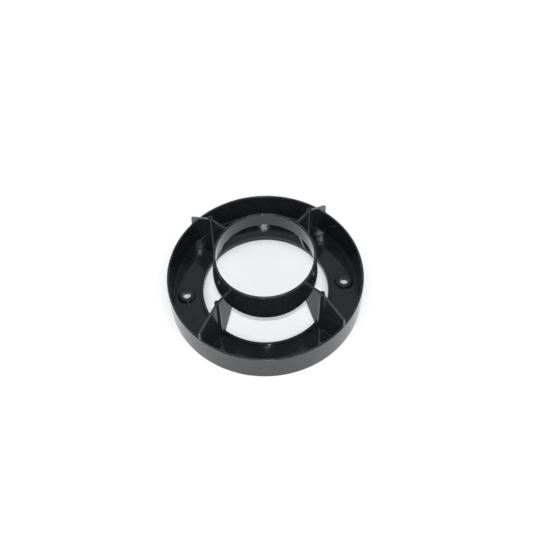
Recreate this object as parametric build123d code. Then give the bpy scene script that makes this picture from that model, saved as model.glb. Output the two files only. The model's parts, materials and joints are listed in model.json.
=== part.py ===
"""Moulded support ring of a kitchen food-waste disposer.

A shallow round dish with a raised lip around its open centre. Four radial
ribs stand on the dish and hold a short tapered collar above the opening, on
the same axis. Two raised bosses in the dish take M6 screws.
The underside is z = 0 and the ring's axis is the Z axis; the front is -Y.
"""
from build123d import *
import math
import os

os.makedirs("parts", exist_ok=True)

# ---- Driving sizes, in millimetres ------------------------------------------
outer_diameter = 160.0       # outside of the ring's wall
wall_height = 27.0           # rim of the wall above the underside
wall_rim = 1.8               # wall thickness at the rim
wall_draft = 1.0             # how much thicker the wall is where it meets the floor
floor_thickness = 2.2
floor_band = 22.8            # flat floor between the wall and the lip
lip_width = 2.4              # raised lip around the opening
lip_height = 5.2             # top of the lip above the underside
lip_round = 0.4              # rounding of the lip's top edges

total_height = 53.5          # top of the collar and of the posts
collar_clearance = 8.8       # radial gap from the lip's bore in to the collar's foot
collar_taper = 2.1           # how much the collar's radius shrinks to its top
collar_wall = 1.8
collar_front_height = 26.0   # the collar's height at the front, where it is deepest
collar_slope = 7.5           # slope of the collar's lower edge, degrees, rising to the back

post_top_diameter = 4.2
post_foot_diameter = 5.0
post_gap = 0.3               # floor left between the lip and a post's foot
pilot_diameter = 1.8         # blind screw hole in the top of each post
pilot_depth = 8.0

rib_thickness = 2.0
rib_drop = 1.0               # top edge of a rib below the collar's top
web_heel_drop = 1.5          # how far a web reaches below the collar's lower edge
gusset_corner_rise = 9.3     # outer corner of a gusset above the rim
gusset_inset = 0.2           # the gusset's outer end in from the wall's face
gusset_end_draft = 0.5       # how much that end leans in at its top

boss_diameter = 14.0         # foot of a screw boss
boss_draft = 0.3             # how much its radius shrinks to its top
boss_height = 5.0            # top of a boss above the underside
screw_hole_diameter = 7.0    # coarse clearance for an M6 screw
edge_round = 0.4             # light rounding of the rims

# ---- Places worked out from the sizes ---------------------------------------
outer_radius = outer_diameter / 2
rim_inner_radius = outer_radius - wall_rim
foot_inner_radius = rim_inner_radius - wall_draft
lip_outer_radius = foot_inner_radius - floor_band
opening_radius = lip_outer_radius - lip_width
collar_foot_radius = opening_radius - collar_clearance
collar_top_radius = collar_foot_radius - collar_taper
post_circle = lip_outer_radius + post_gap + post_foot_diameter / 2
boss_circle = (lip_outer_radius + foot_inner_radius) / 2
collar_foot = total_height - collar_front_height
collar_lean = math.tan(math.radians(collar_slope))
rib_angles = {"back_right": 45, "back_left": 135, "front_left": 225, "front_right": 315}


def turned(*points):
    """A solid of revolution about Z from a closed outline of (radius, height) points."""
    outline = make_face(Polyline(*points, close=True))
    return revolve(Plane.XZ * outline, Axis.Z)


def upright_plate(points, angle):
    """A plate in the vertical plane at this angle, from (radius, height) points."""
    outline = make_face(Polyline(*points, close=True))
    plate = extrude(Plane.XZ * outline, rib_thickness / 2, both=True)
    return Rot(0, 0, angle) * plate


def collar_edge_height(y):
    """Height of the collar's sloping lower edge at this distance behind the axis."""
    return collar_foot + (y + collar_foot_radius) * collar_lean


def outer_wall():
    wall = turned(
        (outer_radius, 0),
        (outer_radius, wall_height),
        (rim_inner_radius, wall_height),
        (foot_inner_radius, floor_thickness),
        (foot_inner_radius, 0),
    )
    rim = wall.edges().group_by(Axis.Z)[-1]
    return fillet(rim, min(edge_round, wall_rim / 3))


def opening_lip():
    lip = turned(
        (opening_radius, 0),
        (lip_outer_radius, 0),
        (lip_outer_radius, lip_height),
        (opening_radius, lip_height),
    )
    crown = lip.edges().group_by(Axis.Z)[-1]
    return fillet(crown, min(lip_round, lip_width / 3))


def boss_places():
    return {"left": Pos(-boss_circle, 0, 0), "right": Pos(boss_circle, 0, 0)}


def floor_plate():
    plate = turned(
        (lip_outer_radius, 0),
        (foot_inner_radius, 0),
        (foot_inner_radius, floor_thickness),
        (lip_outer_radius, floor_thickness),
    )
    for place in boss_places().values():
        plate -= place * Cylinder(screw_hole_diameter / 2, 4 * floor_thickness)
    return plate


def screw_boss():
    """A raised pad on the floor, with the screw hole through it."""
    foot = boss_diameter / 2
    bore = screw_hole_diameter / 2
    pad = turned(
        (bore, floor_thickness),
        (foot, floor_thickness),
        (foot - boss_draft, boss_height),
        (bore, boss_height),
    )
    crown = pad.edges().group_by(Axis.Z)[-1]
    return fillet(crown, edge_round)


def collar_envelope(inset):
    """The collar's tapered form as a full solid, its side set in by a wall or by nothing."""
    return turned(
        (0, collar_foot),
        (collar_foot_radius - inset, collar_foot),
        (collar_top_radius - inset, total_height),
        (0, total_height),
    )


def collar_cut():
    """The plane of the collar's lower edge, which rises from the front to the back."""
    normal = (0, -math.sin(math.radians(collar_slope)), math.cos(math.radians(collar_slope)))
    return Plane(origin=(0, -collar_foot_radius, collar_foot), z_dir=normal)


def inner_collar():
    sleeve = collar_envelope(0) - collar_envelope(collar_wall)
    sleeve = split(sleeve, collar_cut(), keep=Keep.TOP)
    rim = sleeve.edges().group_by(Axis.Z)[-1]
    return fillet(rim, min(edge_round, collar_wall / 3))


def post():
    """A tapered post on the floor, with a blind pilot hole in its top."""
    height = total_height - floor_thickness
    stem = Pos(post_circle, 0, floor_thickness) * Cone(
        post_foot_diameter / 2,
        post_top_diameter / 2,
        height,
        align=(Align.CENTER, Align.CENTER, Align.MIN),
    )
    pilot = Pos(post_circle, 0, total_height) * Cylinder(pilot_diameter / 2, 2 * pilot_depth)
    return stem - pilot


def web(angle, lip, stem):
    """The inner half of a rib: it stands on the lip and beside a post, and holds the collar."""
    heel_y = collar_foot_radius * math.sin(math.radians(angle))
    heel_height = collar_edge_height(heel_y) - web_heel_drop
    lip_middle = opening_radius + lip_width / 2
    top = total_height - rib_drop
    plate = upright_plate(
        [
            (post_circle, floor_thickness),
            (post_circle, top),
            (collar_top_radius - collar_wall, top),
            (collar_foot_radius - collar_wall, heel_height),
            (collar_foot_radius, heel_height),
            (opening_radius, lip_height - lip_round),
            (lip_middle, lip_height - lip_round),
            (lip_middle, floor_thickness),
        ],
        angle,
    )
    below_collar = split(plate, collar_cut(), keep=Keep.BOTTOM)
    beside_collar = split(plate, collar_cut(), keep=Keep.TOP) - collar_envelope(0)
    return below_collar + beside_collar - lip - stem


def gusset(angle, wall, stem):
    """The outer half of a rib, from a post down to the wall and out over its rim."""
    end_radius = outer_radius - gusset_inset
    corner = wall_height + gusset_corner_rise
    plate = upright_plate(
        [
            (post_circle, floor_thickness),
            (foot_inner_radius + wall_draft / 2, floor_thickness),
            (rim_inner_radius + wall_rim / 3, wall_height),
            (end_radius, wall_height),
            (end_radius - gusset_end_draft, corner),
            (post_circle, total_height - rib_drop),
        ],
        angle,
    )
    return plate - wall - stem


def whole(shape):
    """The one solid that a sub-part is made of."""
    return max(shape.solids(), key=lambda solid: solid.volume)


def build():
    nodes = {
        "outer_wall": outer_wall(),
        "floor_plate": floor_plate(),
        "opening_lip": opening_lip(),
        "inner_collar": inner_collar(),
    }
    for side, place in boss_places().items():
        nodes[f"screw_boss_{side}"] = place * screw_boss()
    for corner, angle in rib_angles.items():
        stem = Rot(0, 0, angle) * post()
        solid_stem = whole(stem)
        nodes[f"post_{corner}"] = stem
        nodes[f"web_{corner}"] = web(angle, nodes["opening_lip"], solid_stem)
        nodes[f"gusset_{corner}"] = gusset(angle, nodes["outer_wall"], solid_stem)
    return nodes


for name, shape in build().items():
    export_step(whole(shape), f"parts/{name}.step")
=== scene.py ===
import json
import math

import bmesh
import bpy
from mathutils import Matrix, Vector


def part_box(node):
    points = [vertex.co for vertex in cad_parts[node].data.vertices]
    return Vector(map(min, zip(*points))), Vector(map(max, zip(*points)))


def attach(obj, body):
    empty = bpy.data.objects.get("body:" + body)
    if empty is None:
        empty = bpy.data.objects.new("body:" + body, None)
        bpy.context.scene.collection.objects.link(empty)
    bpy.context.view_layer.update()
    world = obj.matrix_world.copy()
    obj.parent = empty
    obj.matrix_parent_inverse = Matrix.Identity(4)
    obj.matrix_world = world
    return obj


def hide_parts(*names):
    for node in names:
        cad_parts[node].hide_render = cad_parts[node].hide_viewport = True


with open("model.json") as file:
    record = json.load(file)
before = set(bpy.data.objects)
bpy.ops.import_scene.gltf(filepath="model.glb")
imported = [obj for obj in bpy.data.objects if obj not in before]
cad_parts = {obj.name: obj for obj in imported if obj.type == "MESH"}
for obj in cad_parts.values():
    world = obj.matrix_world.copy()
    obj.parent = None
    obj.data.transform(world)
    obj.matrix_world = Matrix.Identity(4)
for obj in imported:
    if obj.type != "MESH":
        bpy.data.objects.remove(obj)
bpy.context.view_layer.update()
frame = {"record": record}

# A moulded support ring of a kitchen food-waste disposer: a shallow dish with an
# open centre, and a short collar held over the opening by four ribs. It is one
# moulding of gloss black plastic. Lengths are in millimetres until a mesh is
# made, and every main size is read from the CAD nodes or from the record.
MM = 0.001                   # one millimetre, in metres
merge_distance = 0.001 * MM  # points closer than this are one
crease_angle = 32.0          # degrees; a sharper edge than this shades as an edge


def size_of(node):
    """Lowest and highest corner of a CAD node, in millimetres."""
    low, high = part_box(node)
    return low / MM, high / MM


def mount_size(name, key):
    """A size of one of the record's mounts, in millimetres."""
    mounts = {mount["name"]: mount["dims"] for mount in frame["record"]["mounts"]}
    return mounts[name][key]


# ---- Sizes read from the frame ---------------------------------------------------------
outer_radius = size_of("outer_wall")[1].x
rim_height = size_of("outer_wall")[1].z
wall_foot_radius = size_of("floor_plate")[1].x      # where the wall's inside meets the floor
floor_top = size_of("floor_plate")[1].z
lip_outer_radius = size_of("opening_lip")[1].x
lip_top = size_of("opening_lip")[1].z
opening_radius = mount_size("floor_opening", "r_mm")
collar_foot_radius = size_of("inner_collar")[1].x
collar_foot = size_of("inner_collar")[0].z          # lowest point, at the front
collar_top = size_of("inner_collar")[1].z
boss_low, boss_high = size_of("screw_boss_right")
boss_circle = (boss_low.x + boss_high.x) / 2
boss_radius = (boss_high.x - boss_low.x) / 2
boss_top = boss_high.z
screw_hole_radius = mount_size("screw_holes", "hole_r_mm")
post_circle = mount_size("post_screws", "pcd_mm") / 2
pilot_radius = mount_size("post_screws", "hole_r_mm")

# ---- Sizes that the frame does not give, as in the CAD part ----------------------------
wall_rim = 1.8
collar_wall = 1.8
collar_taper = 2.1
collar_slope = 7.5           # degrees, rising from the front to the back
post_foot_radius = 2.5
post_top_radius = 2.1
pilot_depth = 8.0
rib_half = 1.0               # half of a rib's thickness
rib_drop = 1.0
web_heel_drop = 1.5
gusset_corner_rise = 9.3
gusset_inset = 0.2
gusset_end_draft = 0.5
boss_draft = 0.3

# ---- Marks of the mould that the CAD part leaves out -----------------------------------
ejector_circle = 66.5
ejector_radius = 2.0
ejector_depth = 0.12
ejector_turn = 22.5          # degrees on from the screw bosses

# ---- Roundings of the moulding ---------------------------------------------------------
rim_round = 0.5
lip_round = 0.4
foot_round = 0.3             # lower edge of the wall and of the lip's bore
wall_flare = 0.8             # hollow corner between the floor and the wall
lip_flare = 0.3
boss_flare = 0.9
boss_round = 0.7
post_flare = 0.5
post_round = 0.3
pilot_round = 0.15
rib_flare = 0.45             # hollow corner where a rib meets its neighbours
rib_round = 0.22
arc_step = 15.0              # degrees between points on a rounding
shoulder = 0.2               # loop kept beside a rounding, so that flats shade flat

# ---- How the pieces of the one moulding run into each other ----------------------------
rib_bury = 0.3               # a rib's lower edge below the floor or the rim it stands on
wall_bury = collar_wall / 2  # a web's inner end inside the lip and the collar
seat_step = 0.1              # height over which a web reaches in over the lip
heel_step = 0.35             # height over which a web's heel reaches in below the collar
collar_step = 0.25           # height over which a web's end moves into the collar's wall

# ---- How finely the round pieces are divided -------------------------------------------
hole_segments = 96           # bosses, screw holes and ejector marks
post_segments = 48

rib_angles = {"back_right": 45, "back_left": 135, "front_left": 225, "front_right": 315}

# ---- Camera ----------------------------------------------------------------------------
view_turn = -4.27            # degrees round the axis from straight in front
view_rise = 56.20            # degrees above the floor
view_roll = -1.57
view_distance = 707.5
view_lens = 59.42            # focal length in mm on a 36 mm frame
aim_across = 1.17
aim_height = 36.20

# ---- Studio, in metres, watts and degrees ----------------------------------------------
table_half = 3.0
flash_rise = 62.5            # a small lamp just above the camera, as a flash
flash_distance = 0.75
flash_width = 0.05
flash_depth = 0.02
flash_power = 2.1
room_front_power = 1.9       # how strongly the room glows in front of the ring
room_back_power = 0.8
room_tones = (               # how high to look (0 level, 1 straight up), and the linear colour
    (0.05, (0.60, 0.60, 0.60, 1)),
    (0.20, (1.0, 0.99, 0.97, 1)),
    (0.66, (1.0, 0.99, 0.97, 1)),
    (0.79, (0.52, 0.55, 0.62, 1)),
)


def make_camera():
    """The scene's camera: turned and raised about a point on the ring's axis."""
    data = bpy.data.cameras.new("camera")
    data.sensor_width = 36.0
    data.lens = view_lens
    data.clip_start = 0.01
    data.clip_end = 50.0
    camera = bpy.data.objects.new("camera", data)
    bpy.context.scene.collection.objects.link(camera)
    turn = Matrix.Rotation(math.radians(view_turn), 4, "Z")
    aim = Matrix.Translation(Vector((aim_across, 0, aim_height)) * MM)
    tilt = Matrix.Rotation(math.radians(90 - view_rise), 4, "X")
    back = Matrix.Translation((0, 0, view_distance * MM))
    roll = Matrix.Rotation(math.radians(view_roll), 4, "Z")
    camera.matrix_world = turn @ aim @ tilt @ back @ roll
    bpy.context.scene.camera = camera
    bpy.context.scene.view_settings.view_transform = "Standard"


# ---- Small helpers ---------------------------------------------------------------------
def linear(hex_colour):
    """An sRGB hex colour as a linear RGBA tuple."""
    parts = [int(hex_colour[i:i + 2], 16) / 255 for i in (1, 3, 5)]
    lit = [c / 12.92 if c <= 0.04045 else ((c + 0.055) / 1.055) ** 2.4 for c in parts]
    return (*lit, 1.0)


def add_node(tree, kind, inputs=None, **settings):
    """Adds a node with its settings and links.

    Each input, named or numbered, takes a value, another node's socket, or another node,
    which stands for its first output.
    """
    made = tree.nodes.new(kind)
    for name, value in settings.items():
        setattr(made, name, value)
    for name, value in (inputs or {}).items():
        if isinstance(value, bpy.types.Node):
            value = value.outputs[0]
        if isinstance(value, bpy.types.NodeSocket):
            tree.links.new(value, made.inputs[name])
        else:
            made.inputs[name].default_value = value
    return made


def object_from(mesh, name):
    made = bpy.data.objects.new(name, mesh)
    bpy.context.scene.collection.objects.link(made)
    return made


# ---- Outlines with rounded corners -----------------------------------------------------
def rounded(corners):
    """A closed outline of (radius, height) from (radius, height, rounding) corners."""
    points = []
    for index, (x, z, size) in enumerate(corners):
        here = Vector((x, z))
        if size <= 0:
            points.append(here)
            continue
        before = Vector(corners[index - 1][:2]) - here
        after = Vector(corners[(index + 1) % len(corners)][:2]) - here
        points.extend(corner_arc(here, before, after, size))
    return points


def corner_arc(here, before, after, size):
    """The points of one rounded corner, with a shoulder point on each side of it."""
    to_before = before.normalized()
    to_after = after.normalized()
    half = to_before.angle(to_after) / 2
    run = size / math.tan(half)
    centre = here + (to_before + to_after).normalized() * size / math.sin(half)
    start = here + to_before * run - centre
    turn = start.angle_signed(here + to_after * run - centre)
    steps = max(3, round(abs(math.degrees(turn)) / arc_step))
    arc = []
    if before.length > run + 2 * shoulder:
        arc.append(here + to_before * (run + shoulder))
    for step in range(steps + 1):
        arc.append(centre + Matrix.Rotation(-turn * step / steps, 2) @ start)
    if after.length > run + 2 * shoulder:
        arc.append(here + to_after * (run + shoulder))
    return arc


def outline_mesh(points, name, sloped=()):
    """The outline as a mesh of points in order; 'sloped' marks the collar's lower edge."""
    mesh = bpy.data.meshes.new(name)
    mesh.from_pydata([(p.x * MM, 0, p.y * MM) for p in points], [], [])
    marks = mesh.attributes.new("sloped", "FLOAT", "POINT")
    for index, mark in enumerate(sloped):
        marks.data[index].value = mark
    return mesh


# ---- Geometry Nodes: a form turned about an axis, and a part set out in a ring ---------
def new_tree(name, inputs):
    """A geometry tree with these (name, kind, value) inputs beside its geometry."""
    tree = bpy.data.node_groups.new(name, "GeometryNodeTree")
    tree.interface.new_socket("Geometry", in_out="INPUT", socket_type="NodeSocketGeometry")
    for label, kind, value in inputs:
        made = tree.interface.new_socket(label, in_out="INPUT", socket_type="NodeSocket" + kind)
        if value is not None:
            made.default_value = value
    tree.interface.new_socket("Geometry", in_out="OUTPUT", socket_type="NodeSocketGeometry")
    return tree


def turned_tree():
    """Turns an outline about the Z axis; the points marked 'sloped' rise towards the back."""
    tree = new_tree("turned_form", [
        ("Segments", "Int", 256),
        ("Slope Start", "Float", 0.0),
        ("Edge Slope", "Float", 0.0),
        ("Side Taper", "Float", 0.0),
        ("Centre", "Vector", None),
        ("Material", "Material", None),
    ])
    given = add_node(tree, "NodeGroupInput").outputs
    segments = given["Segments"]
    count = add_node(tree, "GeometryNodeAttributeDomainSize", {"Geometry": given["Geometry"]})
    points = count.outputs["Point Count"]
    rows = add_node(tree, "ShaderNodeMath", {0: points, 1: 1}, operation="ADD")
    columns = add_node(tree, "ShaderNodeMath", {0: segments, 1: 1}, operation="ADD")
    grid = add_node(tree, "GeometryNodeMeshGrid", {"Vertices X": columns, "Vertices Y": rows})

    # The grid is numbered column by column, and its last row and column repeat the first.
    index = add_node(tree, "GeometryNodeInputIndex")
    passed = add_node(tree, "ShaderNodeMath", {0: index, 1: rows}, operation="DIVIDE")
    column = add_node(tree, "ShaderNodeMath", {0: passed}, operation="FLOOR")
    place = add_node(tree, "ShaderNodeMath", {0: index, 1: rows}, operation="MODULO")
    row = add_node(tree, "ShaderNodeMath", {0: place, 1: points}, operation="MODULO")
    share = add_node(tree, "ShaderNodeMath", {0: column, 1: segments}, operation="DIVIDE")
    angle = add_node(tree, "ShaderNodeMath", {0: share, 1: math.tau}, operation="MULTIPLY")
    sine = add_node(tree, "ShaderNodeMath", {0: angle}, operation="SINE")
    cosine = add_node(tree, "ShaderNodeMath", {0: angle}, operation="COSINE")

    # Each row reads its point of the outline: its place, and its 'sloped' mark.
    position = add_node(tree, "GeometryNodeInputPosition")
    spot = add_node(tree, "GeometryNodeSampleIndex", {
        "Geometry": given["Geometry"], "Value": position, "Index": row,
    }, data_type="FLOAT_VECTOR", domain="POINT")
    marks = add_node(
        tree, "GeometryNodeInputNamedAttribute", {"Name": "sloped"}, data_type="FLOAT")
    mark = add_node(tree, "GeometryNodeSampleIndex", {
        "Geometry": given["Geometry"], "Value": marks, "Index": row,
    }, data_type="FLOAT", domain="POINT")

    outline = add_node(tree, "ShaderNodeSeparateXYZ", {"Vector": spot}).outputs
    along = add_node(tree, "ShaderNodeMath", {0: outline["X"], 1: sine}, operation="MULTIPLY")
    behind = add_node(tree, "ShaderNodeMath", {0: along, 1: given["Slope Start"]},
                      operation="ADD")
    slope = add_node(tree, "ShaderNodeMath", {0: behind, 1: given["Edge Slope"]},
                     operation="MULTIPLY")
    rise = add_node(tree, "ShaderNodeMath", {0: slope, 1: mark}, operation="MULTIPLY")
    shrink = add_node(tree, "ShaderNodeMath", {0: rise, 1: given["Side Taper"]},
                      operation="MULTIPLY")
    radius = add_node(tree, "ShaderNodeMath", {0: outline["X"], 1: shrink},
                      operation="SUBTRACT")
    bent = add_node(tree, "ShaderNodeCombineXYZ", {
        "X": add_node(tree, "ShaderNodeMath", {0: radius, 1: cosine}, operation="MULTIPLY"),
        "Y": add_node(tree, "ShaderNodeMath", {0: radius, 1: sine}, operation="MULTIPLY"),
        "Z": add_node(tree, "ShaderNodeMath", {0: outline["Z"], 1: rise}, operation="ADD"),
    })
    form = add_node(tree, "GeometryNodeSetPosition", {
        "Geometry": grid, "Position": bent, "Offset": given["Centre"],
    })
    closed = add_node(tree, "GeometryNodeMergeByDistance", {
        "Geometry": form, "Distance": merge_distance,
    })
    finish_tree(tree, closed, given["Material"])
    return tree


def finish_tree(tree, geometry, material):
    """Ends a tree: real geometry, smooth shading and the material."""
    real = add_node(tree, "GeometryNodeRealizeInstances", {"Geometry": geometry})
    smooth = add_node(tree, "GeometryNodeSetShadeSmooth", {"Geometry": real})
    coated = add_node(tree, "GeometryNodeSetMaterial", {
        "Geometry": smooth, "Material": material,
    })
    add_node(tree, "NodeGroupOutput", {"Geometry": coated})


def ring_tree():
    """Sets copies of one part out round the Z axis."""
    tree = new_tree("set_out_in_a_ring", [
        ("Count", "Int", 4),
        ("First Angle", "Float", 0.0),
        ("Step Angle", "Float", 0.0),
        ("Material", "Material", None),
    ])
    given = add_node(tree, "NodeGroupInput").outputs
    points = add_node(tree, "GeometryNodePoints", {"Count": given["Count"]})
    index = add_node(tree, "GeometryNodeInputIndex")
    step = add_node(tree, "ShaderNodeMath", {0: index, 1: given["Step Angle"]},
                    operation="MULTIPLY")
    angle = add_node(tree, "ShaderNodeMath", {0: step, 1: given["First Angle"]},
                     operation="ADD")
    turn = add_node(tree, "ShaderNodeCombineXYZ", {"Z": angle})
    copies = add_node(tree, "GeometryNodeInstanceOnPoints", {
        "Points": points, "Instance": given["Geometry"], "Rotation": turn,
    })
    finish_tree(tree, copies, given["Material"])
    return tree


def add_tree(piece, tree, **values):
    """Puts a node tree on the piece, each input set through its socket's identifier."""
    modifier = piece.modifiers.new(tree.name, "NODES")
    modifier.node_group = tree
    for item in tree.interface.items_tree:
        key = item.name.lower().replace(" ", "_")
        if item.in_out == "INPUT" and key in values:
            modifier[item.identifier] = values[key]


def baked(piece):
    """The piece's modifiers made into a plain mesh with its faces pointing outwards."""
    evaluated = piece.evaluated_get(bpy.context.evaluated_depsgraph_get())
    mesh = bpy.data.meshes.new_from_object(evaluated)
    piece.modifiers.clear()
    shape = bmesh.new()
    shape.from_mesh(mesh)
    # Where an outline ends on its own axis, the merged pole leaves edges without a face.
    bare_edges = [edge for edge in shape.edges if edge.is_wire]
    bmesh.ops.delete(shape, geom=bare_edges, context="EDGES")
    bmesh.ops.recalc_face_normals(shape, faces=shape.faces)
    # On a low, flat ring such as a boss the recalculation can settle on the inside.
    if shape.calc_volume(signed=True) < 0:
        bmesh.ops.reverse_faces(shape, faces=shape.faces)
    for edge in shape.edges:
        edge.smooth = edge.is_manifold and edge.calc_face_angle() < math.radians(crease_angle)
    # A cut leaves its new faces on an empty material slot, so all go to the one material.
    for face in shape.faces:
        face.material_index = 0
    material = mesh.materials[-1]
    mesh.materials.clear()
    mesh.materials.append(material)
    shape.to_mesh(mesh)
    shape.free()
    mesh.name = piece.name
    piece.data = mesh
    return piece


def keep(piece, *nodes):
    """Puts the finished piece on the body, in place of its CAD nodes."""
    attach(piece, "root")
    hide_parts(*nodes)


# ---- Materials -------------------------------------------------------------------------
def gloss_black_plastic():
    """Injection-moulded black polypropylene from a polished tool.

    It gives a deep black with wet-looking reflections that soften unevenly, faint ripples,
    hairline scuffs, dust, and upper edges rubbed duller by handling.
    """
    material = bpy.data.materials.new("gloss_black_moulded_plastic")
    material.use_nodes = True
    tree = material.node_tree
    shader = tree.nodes["Principled BSDF"]
    shader.inputs["IOR"].default_value = 1.44    # polypropylene is 1.49; matched to the ring
    place = add_node(tree, "ShaderNodeTexCoord").outputs["Object"]
    scuffs = hairlines(tree, place)
    rubbed = rubbed_edges(tree, place)
    dust = dust_specks(tree, place)

    cloud = add_node(tree, "ShaderNodeTexNoise", {
        "Vector": place, "Scale": 1 / (9.0 * MM), "Detail": 4.0,
    })
    tone = add_node(tree, "ShaderNodeValToRGB", {"Fac": cloud})
    tone.color_ramp.elements[0].color = linear("#17181b")
    tone.color_ramp.elements[0].position = 0.3
    tone.color_ramp.elements[1].color = linear("#1f2024")
    tone.color_ramp.elements[1].position = 0.75
    greyed = add_node(tree, "ShaderNodeMath", {0: rubbed, 1: 0.3}, operation="MULTIPLY")
    # A mix of colours takes them at its inputs 6 and 7, and gives the result at output 2.
    worn = add_node(tree, "ShaderNodeMix", {
        "Factor": greyed, 6: tone, 7: linear("#3a3a3b"),
    }, data_type="RGBA").outputs[2]
    dusty = add_node(tree, "ShaderNodeMix", {
        "Factor": dust, 6: worn, 7: linear("#4c4b48"),
    }, data_type="RGBA").outputs[2]
    tree.links.new(dusty, shader.inputs["Base Color"])

    smear = add_node(tree, "ShaderNodeTexNoise", {
        "Vector": place, "Scale": 1 / (14.0 * MM), "Detail": 5.0,
    })
    gloss = add_node(tree, "ShaderNodeMapRange", {
        "Value": smear, "From Min": 0.3, "From Max": 0.7, "To Min": 0.06, "To Max": 0.14,
    })
    for mask, dulling in ((scuffs, 0.06), (rubbed, 0.08), (dust, 0.4)):
        dulled = add_node(tree, "ShaderNodeMath", {0: mask, 1: dulling}, operation="MULTIPLY")
        gloss = add_node(tree, "ShaderNodeMath", {0: gloss, 1: dulled}, operation="ADD")
    tree.links.new(gloss.outputs[0], shader.inputs["Roughness"])

    ripple = add_node(tree, "ShaderNodeTexNoise", {
        "Vector": place, "Scale": 1 / (6.0 * MM), "Detail": 1.0,
    })
    grain = add_node(tree, "ShaderNodeTexNoise", {
        "Vector": place, "Scale": 1 / (0.35 * MM), "Detail": 2.0,
    })
    soft = add_node(tree, "ShaderNodeBump", {
        "Height": ripple, "Distance": 0.014 * MM, "Strength": 1.0,
    })
    fine = add_node(tree, "ShaderNodeBump", {
        "Height": grain, "Distance": 0.001 * MM, "Strength": 0.1, "Normal": soft,
    })
    cut = add_node(tree, "ShaderNodeBump", {
        "Height": scuffs, "Distance": 0.003 * MM, "Strength": 0.2, "Normal": fine,
    }, invert=True)
    tree.links.new(cut.outputs["Normal"], shader.inputs["Normal"])
    return material


def hairlines(tree, place):
    """Fine broken scratches, about 0.1 mm wide, where other parts have rubbed past."""
    bent = add_node(tree, "ShaderNodeTexNoise", {
        "Vector": place, "Scale": 1 / (11.0 * MM), "Detail": 2.0,
    })
    sideways = add_node(tree, "ShaderNodeMath", {0: bent, 1: 12 * MM}, operation="MULTIPLY")
    shift = add_node(tree, "ShaderNodeCombineXYZ", {"X": sideways})
    shifted = add_node(tree, "ShaderNodeVectorMath", {0: place, 1: shift}, operation="ADD")
    cells = add_node(tree, "ShaderNodeTexVoronoi", {
        "Vector": shifted, "Scale": 1 / (21 * MM),
    }, feature="DISTANCE_TO_EDGE")
    line = add_node(tree, "ShaderNodeMapRange", {
        "Value": cells.outputs["Distance"], "From Min": 0.006, "From Max": 0.002,
    }, interpolation_type="SMOOTHSTEP")
    lumps = add_node(tree, "ShaderNodeTexNoise", {
        "Vector": place, "Scale": 1 / (7.0 * MM), "Detail": 1.0,
    })
    broken = add_node(tree, "ShaderNodeMapRange", {
        "Value": lumps, "From Min": 0.50, "From Max": 0.58,
    }, interpolation_type="SMOOTHSTEP")
    return add_node(tree, "ShaderNodeMath", {0: line, 1: broken}, operation="MULTIPLY")


def rubbed_edges(tree, place):
    """The rim of the wall and the top edges of the collar and ribs, worn in patches."""
    height = add_node(tree, "ShaderNodeSeparateXYZ", {"Vector": place}).outputs["Z"]
    bands = [
        (collar_top - 1.6, collar_top - 1.0),    # fades in up to the top
        (rim_height - 0.5, rim_height - 0.1),    # fades in up to the rim
        (rim_height + 0.1, rim_height),          # and stops just above it
    ]
    top, rising, ending = [
        add_node(tree, "ShaderNodeMapRange", {
            "Value": height, "From Min": start * MM, "From Max": full * MM,
        }, interpolation_type="SMOOTHSTEP")
        for start, full in bands
    ]
    rim = add_node(tree, "ShaderNodeMath", {0: rising, 1: ending}, operation="MULTIPLY")
    edges = add_node(tree, "ShaderNodeMath", {0: top, 1: rim}, operation="MAXIMUM")
    lumps = add_node(tree, "ShaderNodeTexNoise", {
        "Vector": place, "Scale": 1 / (5.0 * MM), "Detail": 3.0,
    })
    patches = add_node(tree, "ShaderNodeMapRange", {
        "Value": lumps, "From Min": 0.42, "From Max": 0.62,
    }, interpolation_type="SMOOTHSTEP")
    return add_node(tree, "ShaderNodeMath", {0: edges, 1: patches}, operation="MULTIPLY")


def dust_specks(tree, place):
    """Scattered dust grains, 0.1 to 0.2 mm, on the faces that look up."""
    cells = add_node(tree, "ShaderNodeTexVoronoi", {"Vector": place, "Scale": 1 / (2.4 * MM)})
    lot = add_node(tree, "ShaderNodeSeparateColor", {"Color": cells.outputs["Color"]})
    facing = add_node(tree, "ShaderNodeNewGeometry").outputs["Normal"]
    upward = add_node(tree, "ShaderNodeSeparateXYZ", {"Vector": facing}).outputs["Z"]
    limits = [
        (cells.outputs["Distance"], 0.05, 0.035),    # near the middle of its cell
        (lot.outputs["Red"], 0.80, 0.82),            # in one cell of five
        (upward, 0.5, 0.8),                          # on a face that looks up
    ]
    grain, chosen, lying = [
        add_node(tree, "ShaderNodeMapRange", {
            "Value": value, "From Min": start, "From Max": full,
        }, interpolation_type="SMOOTHSTEP")
        for value, start, full in limits
    ]
    kept = add_node(tree, "ShaderNodeMath", {0: chosen, 1: lying}, operation="MULTIPLY")
    return add_node(tree, "ShaderNodeMath", {0: grain, 1: kept}, operation="MULTIPLY")


def white_table():
    """A matt white board: an even, pale ground without reflections."""
    material = bpy.data.materials.new("matt_white_board")
    material.use_nodes = True
    shader = material.node_tree.nodes["Principled BSDF"]
    shader.inputs["Base Color"].default_value = linear("#f5f5f4")
    shader.inputs["Roughness"].default_value = 0.9
    return material


# ---- Pieces turned about an axis -------------------------------------------------------
def wall_outline():
    wall_top_inside = outer_radius - wall_rim
    return rounded([
        (outer_radius, 0, foot_round),
        (outer_radius, rim_height, rim_round),
        (wall_top_inside, rim_height, rim_round),
        (wall_foot_radius, floor_top, wall_flare),
        (wall_foot_radius - wall_flare, floor_top, 0),
        (wall_foot_radius, floor_top / 2, 0),
        (wall_foot_radius, 0, 0),
    ])


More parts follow.
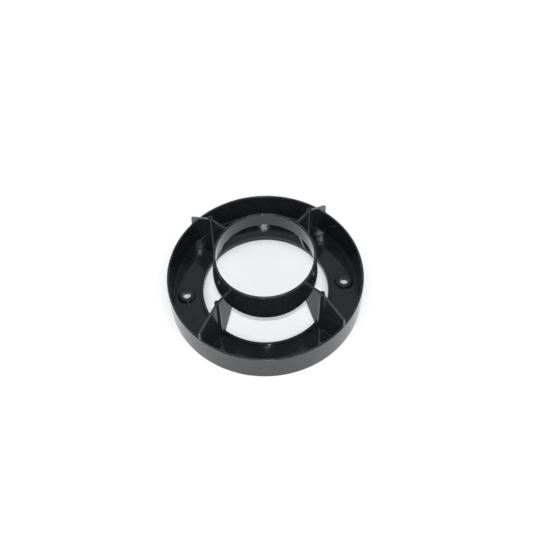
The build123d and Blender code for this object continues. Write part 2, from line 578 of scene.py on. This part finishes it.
def floor_outline():
    return rounded([
        (lip_outer_radius, 0, 0),
        (wall_foot_radius, 0, 0),
        (wall_foot_radius, floor_top / 2, 0),
        (wall_foot_radius - wall_flare, floor_top, 0),
        (lip_outer_radius + lip_flare, floor_top, 0),
        (lip_outer_radius, floor_top / 2, 0),
    ])


def lip_outline():
    return rounded([
        (opening_radius, 0, foot_round),
        (lip_outer_radius, 0, 0),
        (lip_outer_radius, floor_top / 2, 0),
        (lip_outer_radius + lip_flare, floor_top, 0),
        (lip_outer_radius, floor_top, lip_flare),
        (lip_outer_radius, lip_top, lip_round),
        (opening_radius, lip_top, lip_round),
    ])


def collar_outline():
    """The sleeve's outline, and a mark on each point that follows the sloping lower edge."""
    top_radius = collar_foot_radius - collar_taper
    points = rounded([
        (collar_foot_radius - collar_wall, collar_foot, rim_round),
        (collar_foot_radius, collar_foot, rim_round),
        (top_radius, collar_top, rim_round),
        (top_radius - collar_wall, collar_top, rim_round),
    ])
    middle = (collar_foot + collar_top) / 2
    return points, [1.0 if p.y < middle else 0.0 for p in points]


def boss_outline():
    crown = boss_radius - boss_draft
    return rounded([
        (screw_hole_radius, floor_top, 0),
        (boss_radius + boss_flare, floor_top, 0),
        (boss_radius, floor_top, boss_flare),
        (crown, boss_top, boss_round),
        (screw_hole_radius, boss_top, rim_round),
    ])


def post_outline():
    """A post with its blind pilot hole, which ends in a cone."""
    pilot_foot = collar_top - pilot_depth
    return rounded([
        (0, floor_top, 0),
        (post_foot_radius + post_flare, floor_top, 0),
        (post_foot_radius, floor_top, post_flare),
        (post_top_radius, collar_top, post_round),
        (pilot_radius, collar_top, pilot_round),
        (pilot_radius, pilot_foot, 0),
        (0, pilot_foot - pilot_radius / 2, 0),
    ])


def turned_piece(name, points, tree, material, sloped=(), **values):
    """An outline as an object, with the tree that turns it about the axis."""
    piece = object_from(outline_mesh(points, name, sloped), name)
    add_tree(piece, tree, material=material, **values)
    return piece


# ---- Ribs: plates with rounded edges and hollow corners --------------------------------
def flare(distance):
    """How far a rib's face stands out at this distance from a neighbour's face."""
    inward = rib_flare - min(max(distance, 0.0), rib_flare)
    return rib_flare - math.sqrt(rib_flare ** 2 - inward ** 2)


def edge_fall(distance):
    """How far a rib's face drops at this distance in from a free edge."""
    inward = rib_round - min(distance, rib_round)
    return rib_round - math.sqrt(rib_round ** 2 - inward ** 2)


def arc_turns():
    """Angles along a quarter turn, from its end back to its start."""
    steps = round(90 / arc_step)
    return [math.radians(arc_step * step) for step in range(steps, -1, -1)]


def arc_offsets(size):
    """Distances from an edge at which a rounding of this size needs a point, nearest first."""
    return [size * (1 - math.sin(turn)) for turn in arc_turns()] + [size + shoulder]


def spread(first, last, count):
    """Values evenly between two ends, without the ends."""
    return [first + (last - first) * step / (count + 1) for step in range(1, count + 1)]


def gap_to_edge(point, start, end):
    """Distance from a point to a straight edge."""
    side = end - start
    share = (point - start).dot(side) / side.length_squared
    return (point - start - side * min(1.0, max(0.0, share))).length


def gap_to_section(point, section):
    """Distance from a point to a neighbour's cross-section, or nothing inside it."""
    pairs = list(zip(section, section[1:] + section[:1]))
    sides = [(end - start).cross(point - start) for start, end in pairs]
    if min(sides) >= 0:
        return 0.0
    return min(gap_to_edge(point, start, end) for start, end in pairs)


def section(*corners):
    """Corners of (radius, height); those of a neighbour's section run anticlockwise."""
    return [Vector(corner) for corner in corners]


def post_corner(height):
    """Where a rib's hollow corner against the post starts and ends, from the post's middle."""
    share = (height - floor_top) / (collar_top - floor_top)
    radius = post_foot_radius + (post_top_radius - post_foot_radius) * share
    start = math.sqrt((radius + rib_flare) ** 2 - (rib_half + rib_flare) ** 2)
    return start, start * radius / (radius + rib_flare)


def post_flare_at(reach, height):
    """How far a rib's face stands out beside the round post."""
    start, end = post_corner(height)
    inward = start - min(max(reach, end), start)
    return rib_flare - math.sqrt(rib_flare ** 2 - inward ** 2)


def post_offsets(height):
    """Distances from the post's middle at which a rib needs a column of points."""
    start, end = post_corner(height)
    turns = arc_turns()
    return [0.0] + [start - (start - end) * math.sin(turn) for turn in turns] + [start + shoulder]


def rib_mesh(name, heights, columns_at, neighbours, free_edges):
    """A rib in the plane of X and Z.

    Each row's height is a function of the radius, and columns_at gives the radii at a
    height. The faces stand out beside neighbours and the post, and fall at free edges.
    """
    rows = []
    for height_at in heights:
        radii = columns_at(height_at(post_circle))
        # A column's radius depends on its height, which a sloping row takes from the radius.
        for _ in range(2):
            radii = [columns_at(height_at(radius))[place] for place, radius in enumerate(radii)]
        rows.append([Vector((radius, height_at(radius))) for radius in radii])

    def half_at(point):
        rise = sum(flare(gap_to_section(point, near)) for near in neighbours)
        fall = max(edge_fall(gap_to_edge(point, *edge)) for edge in free_edges)
        beside_post = post_flare_at(abs(point.x - post_circle), point.y)
        return rib_half + beside_post + min(rise, rib_flare) - fall

    shape = bmesh.new()
    faces = []
    for side in (-1, 1):
        grid = []
        for row in rows:
            points = [(p.x * MM, side * half_at(p) * MM, p.y * MM) for p in row]
            grid.append([shape.verts.new(point) for point in points])
        faces.append(grid)
    for grid in faces:
        for low, high in zip(grid, grid[1:]):
            for column in range(len(low) - 1):
                shape.faces.new((low[column], low[column + 1], high[column + 1], high[column]))
    near, far = border(faces[0]), border(faces[1])
    for place in range(len(near)):
        shape.faces.new((near[place - 1], near[place], far[place], far[place - 1]))
    bmesh.ops.remove_doubles(shape, verts=shape.verts, dist=merge_distance)
    bmesh.ops.recalc_face_normals(shape, faces=shape.faces)
    mesh = bpy.data.meshes.new(name)
    shape.to_mesh(mesh)
    shape.free()
    return mesh


def border(grid):
    """The points round the rim of a grid, in order."""
    right = [row[-1] for row in grid[1:-1]]
    left = [row[0] for row in grid[1:-1]]
    return list(grid[0]) + right + list(grid[-1])[::-1] + left[::-1]


def level(height):
    """A row that runs level."""
    return lambda radius: height


def under_crest(crest_at, reach):
    """A row that follows the rib's top edge, this far below it."""
    return lambda radius: crest_at(radius) - reach


def between(low, crest_at, share):
    """A row part of the way from a level up to just under the rib's top edge."""
    return lambda radius: low + (crest_at(radius) - rib_round - shoulder - low) * share


# ---- What the ribs stand on, cut through -----------------------------------------------
floor_section = section(
    (opening_radius, 0),
    (outer_radius, 0),
    (outer_radius, floor_top),
    (opening_radius, floor_top),
)
wall_section = section(
    (wall_foot_radius, floor_top),
    (outer_radius, floor_top),
    (outer_radius, rim_height),
    (outer_radius - wall_rim, rim_height),
)
lip_section = section(
    (opening_radius, 0),
    (lip_outer_radius, 0),
    (lip_outer_radius, lip_top),
    (opening_radius, lip_top),
)


def gusset_mesh():
    """The outer half of a rib: from the post down to the wall and out over its rim."""
    end_radius = outer_radius - gusset_inset
    corner = Vector((end_radius - gusset_end_draft, rim_height + gusset_corner_rise))
    crest = collar_top - rib_drop
    fall = (crest - corner.y) / (corner.x - post_circle)

    def crest_at(radius):
        return crest - (radius - post_circle) * fall

    def columns_at(height):
        share = min(1.0, (height - floor_top) / (rim_height - floor_top))
        wall = wall_foot_radius + (outer_radius - wall_rim - wall_foot_radius) * share
        lean = max(0.0, height - rim_height) * gusset_end_draft / gusset_corner_rise
        post_side = [post_circle + reach for reach in post_offsets(height)]
        wall_side = [wall - reach for reach in reversed(arc_offsets(rib_flare))]
        end_side = [end_radius - lean - reach for reach in reversed(arc_offsets(rib_round))]
        return post_side + spread(post_side[-1], wall_side[0], 3) + wall_side + end_side

    foot = [floor_top - rib_bury] + [floor_top + reach for reach in arc_offsets(rib_flare)]
    rim = [rim_height - rib_bury] + [rim_height + reach for reach in arc_offsets(rib_flare)]
    heights = [level(height) for height in foot + spread(foot[-1], rim[0], 3) + rim]
    heights += [between(rim[-1], crest_at, share) for share in spread(0, 1, 4)]
    heights += [under_crest(crest_at, reach) for reach in reversed(arc_offsets(rib_round))]
    free_edges = [
        section((post_circle, crest), corner),
        section(corner, (end_radius, rim_height)),
    ]
    return rib_mesh("gusset", heights, columns_at, [floor_section, wall_section], free_edges)


def collar_radius(height):
    """The collar's outer radius, which shrinks towards its top."""
    return collar_foot_radius - collar_taper * (height - collar_foot) / (collar_top - collar_foot)


def web_mesh(name, angle):
    """The inner half of a rib: it stands on the lip and carries the collar beside a post."""
    behind = collar_foot_radius * (1 + math.sin(math.radians(angle)))
    edge = collar_foot + behind * math.tan(math.radians(collar_slope))
    heel = edge - web_heel_drop
    foot = lip_top - lip_round
    crest = collar_top - rib_drop
    tip = collar_radius(edge) - collar_wall
    path = section(
        (opening_radius + wall_bury, 0),
        (opening_radius + wall_bury, foot - seat_step),
        (opening_radius, foot),
        (collar_foot_radius, heel),
        (tip, heel + heel_step),
        (tip, edge),
        (collar_radius(edge) - wall_bury, edge + collar_step),
        (collar_radius(crest) - wall_bury, crest),
    )

    def inner_at(height):
        """The rib's inner end at a height, along its path."""
        for start, end in zip(path, path[1:]):
            if height <= end.y:
                return start.x + (end.x - start.x) * (height - start.y) / (end.y - start.y)
        return path[-1].x

    def columns_at(height):
        inner = inner_at(height)
        face = max(collar_radius(height), inner + rib_round + 2 * shoulder)
        inner_side = [inner + reach for reach in arc_offsets(rib_round)]
        face_side = [face + reach for reach in arc_offsets(rib_flare)]
        post_side = [post_circle - reach for reach in reversed(post_offsets(height))]
        return inner_side + face_side + spread(face_side[-1], post_side[0], 3) + post_side

    seat = [floor_top - rib_bury, foot - seat_step, foot]
    seat += [lip_top + reach for reach in arc_offsets(rib_flare)]
    hold = [edge - reach for reach in reversed(arc_offsets(rib_flare))] + [edge + collar_step]
    heights = seat + spread(seat[-1], heel, 4) + [heel, heel + heel_step] + hold
    heights = [level(height) for height in heights]
    heights += [between(hold[-1], level(crest), share) for share in spread(0, 1, 3)]
    heights += [under_crest(level(crest), reach) for reach in reversed(arc_offsets(rib_round))]
    collar_section = section(
        (collar_radius(edge) - collar_wall, edge),
        (collar_radius(edge), edge),
        (collar_radius(collar_top), collar_top),
        (collar_radius(collar_top) - collar_wall, collar_top),
    )
    free_edges = list(zip(path[2:5], path[3:6]))     # from the lip's bore up to the collar
    free_edges.append(section((collar_radius(crest), crest), (post_circle, crest)))
    neighbours = [floor_section, lip_section, collar_section]
    return rib_mesh(name, heights, columns_at, neighbours, free_edges)


# ---- The pieces ------------------------------------------------------------------------
def make_pieces(plastic):
    """Every piece of the moulding, each kept in place of its CAD nodes."""
    turned = turned_tree()
    ring = ring_tree()
    slope = math.tan(math.radians(collar_slope))
    quarter = math.radians(90)

    wall = turned_piece("outer_wall", wall_outline(), turned, plastic)
    keep(baked(wall), "outer_wall")

    plate = turned_piece("floor_plate", floor_outline(), turned, plastic)
    keep(drilled(baked(plate)), "floor_plate")

    lip = turned_piece("opening_lip", lip_outline(), turned, plastic)
    keep(baked(lip), "opening_lip")

    points, sloped = collar_outline()
    collar = turned_piece(
        "inner_collar", points, turned, plastic, sloped, slope_start=collar_foot_radius * MM,
        edge_slope=slope, side_taper=collar_taper / (collar_top - collar_foot))
    keep(baked(collar), "inner_collar")

    bosses = turned_piece(
        "screw_bosses", boss_outline(), turned, plastic, segments=hole_segments,
        centre=(boss_circle * MM, 0, 0))
    add_tree(bosses, ring, count=2, step_angle=2 * quarter, material=plastic)
    keep(baked(bosses), "screw_boss_left", "screw_boss_right")

    posts = turned_piece(
        "posts", post_outline(), turned, plastic, segments=post_segments,
        centre=(post_circle * MM, 0, 0))
    add_tree(posts, ring, count=4, first_angle=quarter / 2, step_angle=quarter, material=plastic)
    keep(baked(posts), *[f"post_{corner}" for corner in rib_angles])

    gussets = object_from(gusset_mesh(), "gussets")
    add_tree(gussets, ring, count=4, first_angle=quarter / 2, step_angle=quarter, material=plastic)
    keep(baked(gussets), *[f"gusset_{corner}" for corner in rib_angles])

    for end, first in (("back", 45), ("front", 225)):
        webs = object_from(web_mesh(f"{end}_web", first), f"{end}_webs")
        add_tree(webs, ring, count=2, first_angle=math.radians(first), step_angle=quarter,
                 material=plastic)
        keep(baked(webs), f"web_{end}_left", f"web_{end}_right")


def drilled(plate):
    """The floor with the two screw holes cut through it, and two shallow ejector-pin marks."""
    cutter = bmesh.new()
    for side in (0, 180):
        add_cutter(cutter, boss_circle, side, screw_hole_radius, -floor_top, 2 * floor_top)
        add_cutter(
            cutter, ejector_circle, side + ejector_turn, ejector_radius,
            floor_top - ejector_depth, floor_top + ejector_depth)
    mesh = bpy.data.meshes.new("drill")
    cutter.to_mesh(mesh)
    cutter.free()
    drill = object_from(mesh, "drill")
    cut = plate.modifiers.new("screw_holes", "BOOLEAN")
    cut.object = drill
    cut.operation = "DIFFERENCE"
    cut.solver = "EXACT"
    bpy.context.view_layer.update()
    baked(plate)
    bpy.data.objects.remove(drill)
    return plate


def add_cutter(shape, circle, turn, radius, low, high):
    """An upright round cutter at this radius and angle, between two heights."""
    place = Matrix.Rotation(math.radians(turn), 4, "Z") @ Matrix.Translation(
        Vector((circle, 0, (low + high) / 2)) * MM)
    bmesh.ops.create_cone(
        shape, cap_ends=True, segments=hole_segments, radius1=radius * MM,
        radius2=radius * MM, depth=(high - low) * MM, matrix=place)


# ---- Studio ----------------------------------------------------------------------------
def make_table():
    """The pale floor that the ring lies on."""
    shape = bmesh.new()
    bmesh.ops.create_grid(shape, x_segments=8, y_segments=8, size=table_half)
    mesh = bpy.data.meshes.new("table")
    shape.to_mesh(mesh)
    shape.free()
    mesh.materials.append(white_table())
    object_from(mesh, "table")


def make_room():
    """A light tent that glows all round, most of all in front, with a dimmer blue ceiling."""
    world = bpy.data.worlds.new("studio_room")
    bpy.context.scene.world = world
    world.use_nodes = True
    tree = world.node_tree
    tree.nodes.clear()
    direction = add_node(tree, "ShaderNodeTexCoord").outputs["Generated"]
    way = add_node(tree, "ShaderNodeSeparateXYZ", {"Vector": direction}).outputs
    tone = add_node(tree, "ShaderNodeValToRGB", {"Fac": way["Z"]})
    ramp = tone.color_ramp.elements
    for place, stop in ((0, room_tones[0]), (1, room_tones[-1])):
        ramp[place].position, ramp[place].color = stop
    for height, colour in room_tones[1:-1]:
        ramp.new(height).color = colour
    power = add_node(tree, "ShaderNodeMapRange", {
        "Value": way["Y"], "From Min": -1.0, "From Max": 1.0,
        "To Min": room_front_power, "To Max": room_back_power,
    })
    glow = add_node(tree, "ShaderNodeBackground", {
        "Color": tone.outputs["Color"], "Strength": power.outputs["Result"],
    })
    add_node(tree, "ShaderNodeOutputWorld", {"Surface": glow.outputs["Background"]})


def make_flash():
    """A small white lamp beside the camera, aimed at the middle of the ring."""
    data = bpy.data.lights.new("camera_flash", "AREA")
    data.shape = "RECTANGLE"
    data.size = flash_width
    data.size_y = flash_depth
    data.energy = flash_power
    lamp = bpy.data.objects.new("camera_flash", data)
    bpy.context.scene.collection.objects.link(lamp)
    turned = Matrix.Rotation(math.radians(view_turn), 4, "Z")
    tilted = Matrix.Rotation(math.radians(90 - flash_rise), 4, "X")
    lamp.matrix_world = turned @ tilted @ Matrix.Translation((0, 0, flash_distance))


make_camera()
make_table()
make_room()
make_flash()
make_pieces(gloss_black_plastic())
